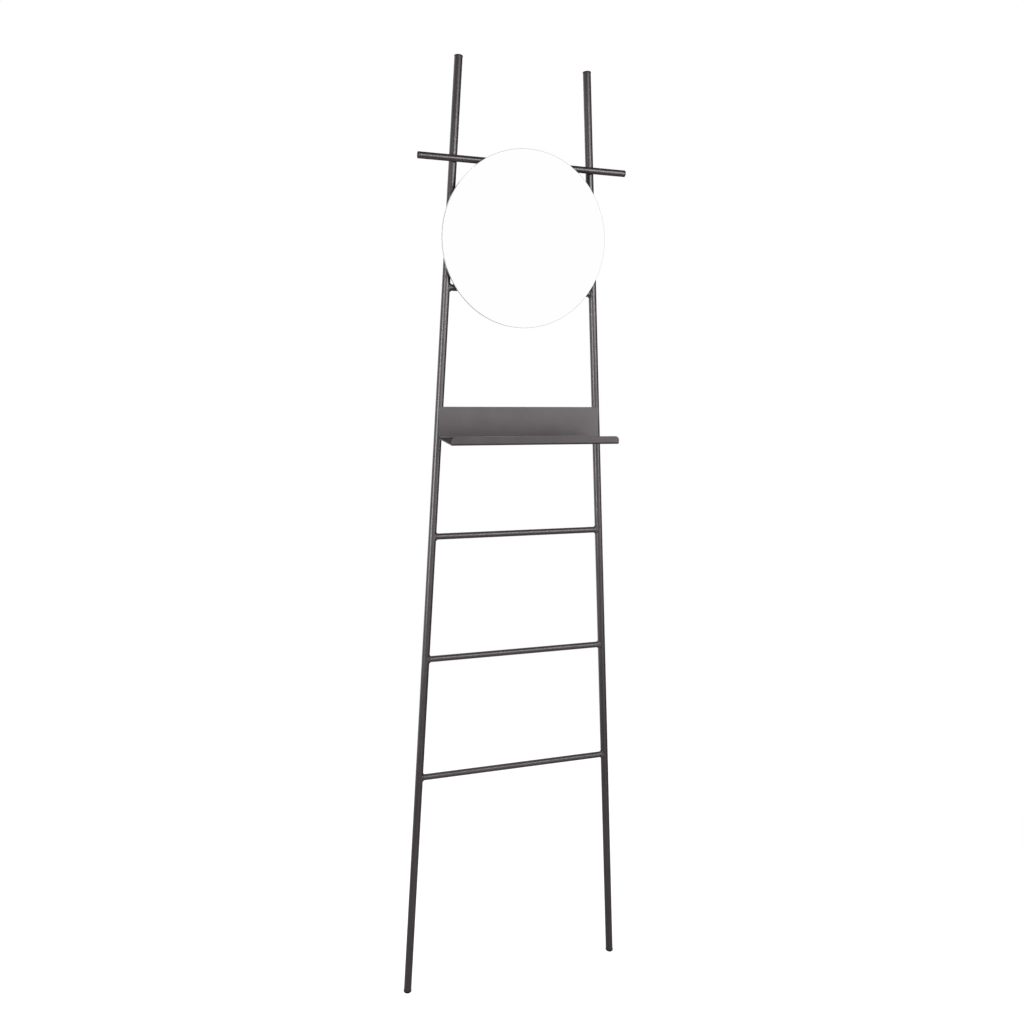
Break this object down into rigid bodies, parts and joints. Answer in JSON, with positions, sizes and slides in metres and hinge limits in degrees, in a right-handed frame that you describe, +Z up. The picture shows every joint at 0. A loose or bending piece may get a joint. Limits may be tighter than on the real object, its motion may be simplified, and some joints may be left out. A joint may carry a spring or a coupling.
{
  "type": "bathroom ladder with mirror",
  "caption": "Leaning tubular bathroom ladder with splayed rails, towel rungs, a folded shelf tray, a hook bar and a round mirror hung from the bar.",
  "frame": {"origin": "on the floor, under the middle of the ladder's overall box", "axes": "+Z up, +Y towards the wall that the ladder leans on, the front faces -Y, X across the ladder"},
  "size_m": [0.499, 0.1869, 1.9285],
  "materials": {
    "frame_coat": "satin dark anthracite powder coat",
    "black_plug": "fine matt black moulded plastic",
    "pad_rubber": "matt black rubber",
    "mirror": "silvered float glass with arrised edge",
    "foam_tape": "dark foam tape",
    "zinc_sheet": "zinc-plated folded sheet",
    "bumper": "translucent soft bumper"
  },
  "bodies": {
    "ladder": {"left_rail": "frame_coat", "right_rail": "frame_coat", "lower_rung": "frame_coat", "middle_rung": "frame_coat", "upper_rung": "frame_coat", "mirror_rung": "frame_coat", "hook_bar": "frame_coat", "frame_welds": "frame_coat", "shelf_tray": "frame_coat", "shelf_welds": "frame_coat", "left_rail_cap": "black_plug", "right_rail_cap": "black_plug", "left_foot": "black_plug", "right_foot": "black_plug", "hook_bar_left_cap": "black_plug", "hook_bar_right_cap": "black_plug", "left_wall_pad": "pad_rubber", "right_wall_pad": "pad_rubber"},
    "mirror": {"mirror_glass": "mirror", "mirror_tape": "foam_tape", "mirror_bracket": "zinc_sheet", "mirror_bumpers": "bumper"}
  },
  "joints": [
    {"name": "mirror_swing", "type": "hinge", "parent": "ladder", "child": "mirror", "pos_m": [0, 0.05481, 1.73904], "axis": [-1, 0, 0], "range_deg": [0, 25]}
  ]
}
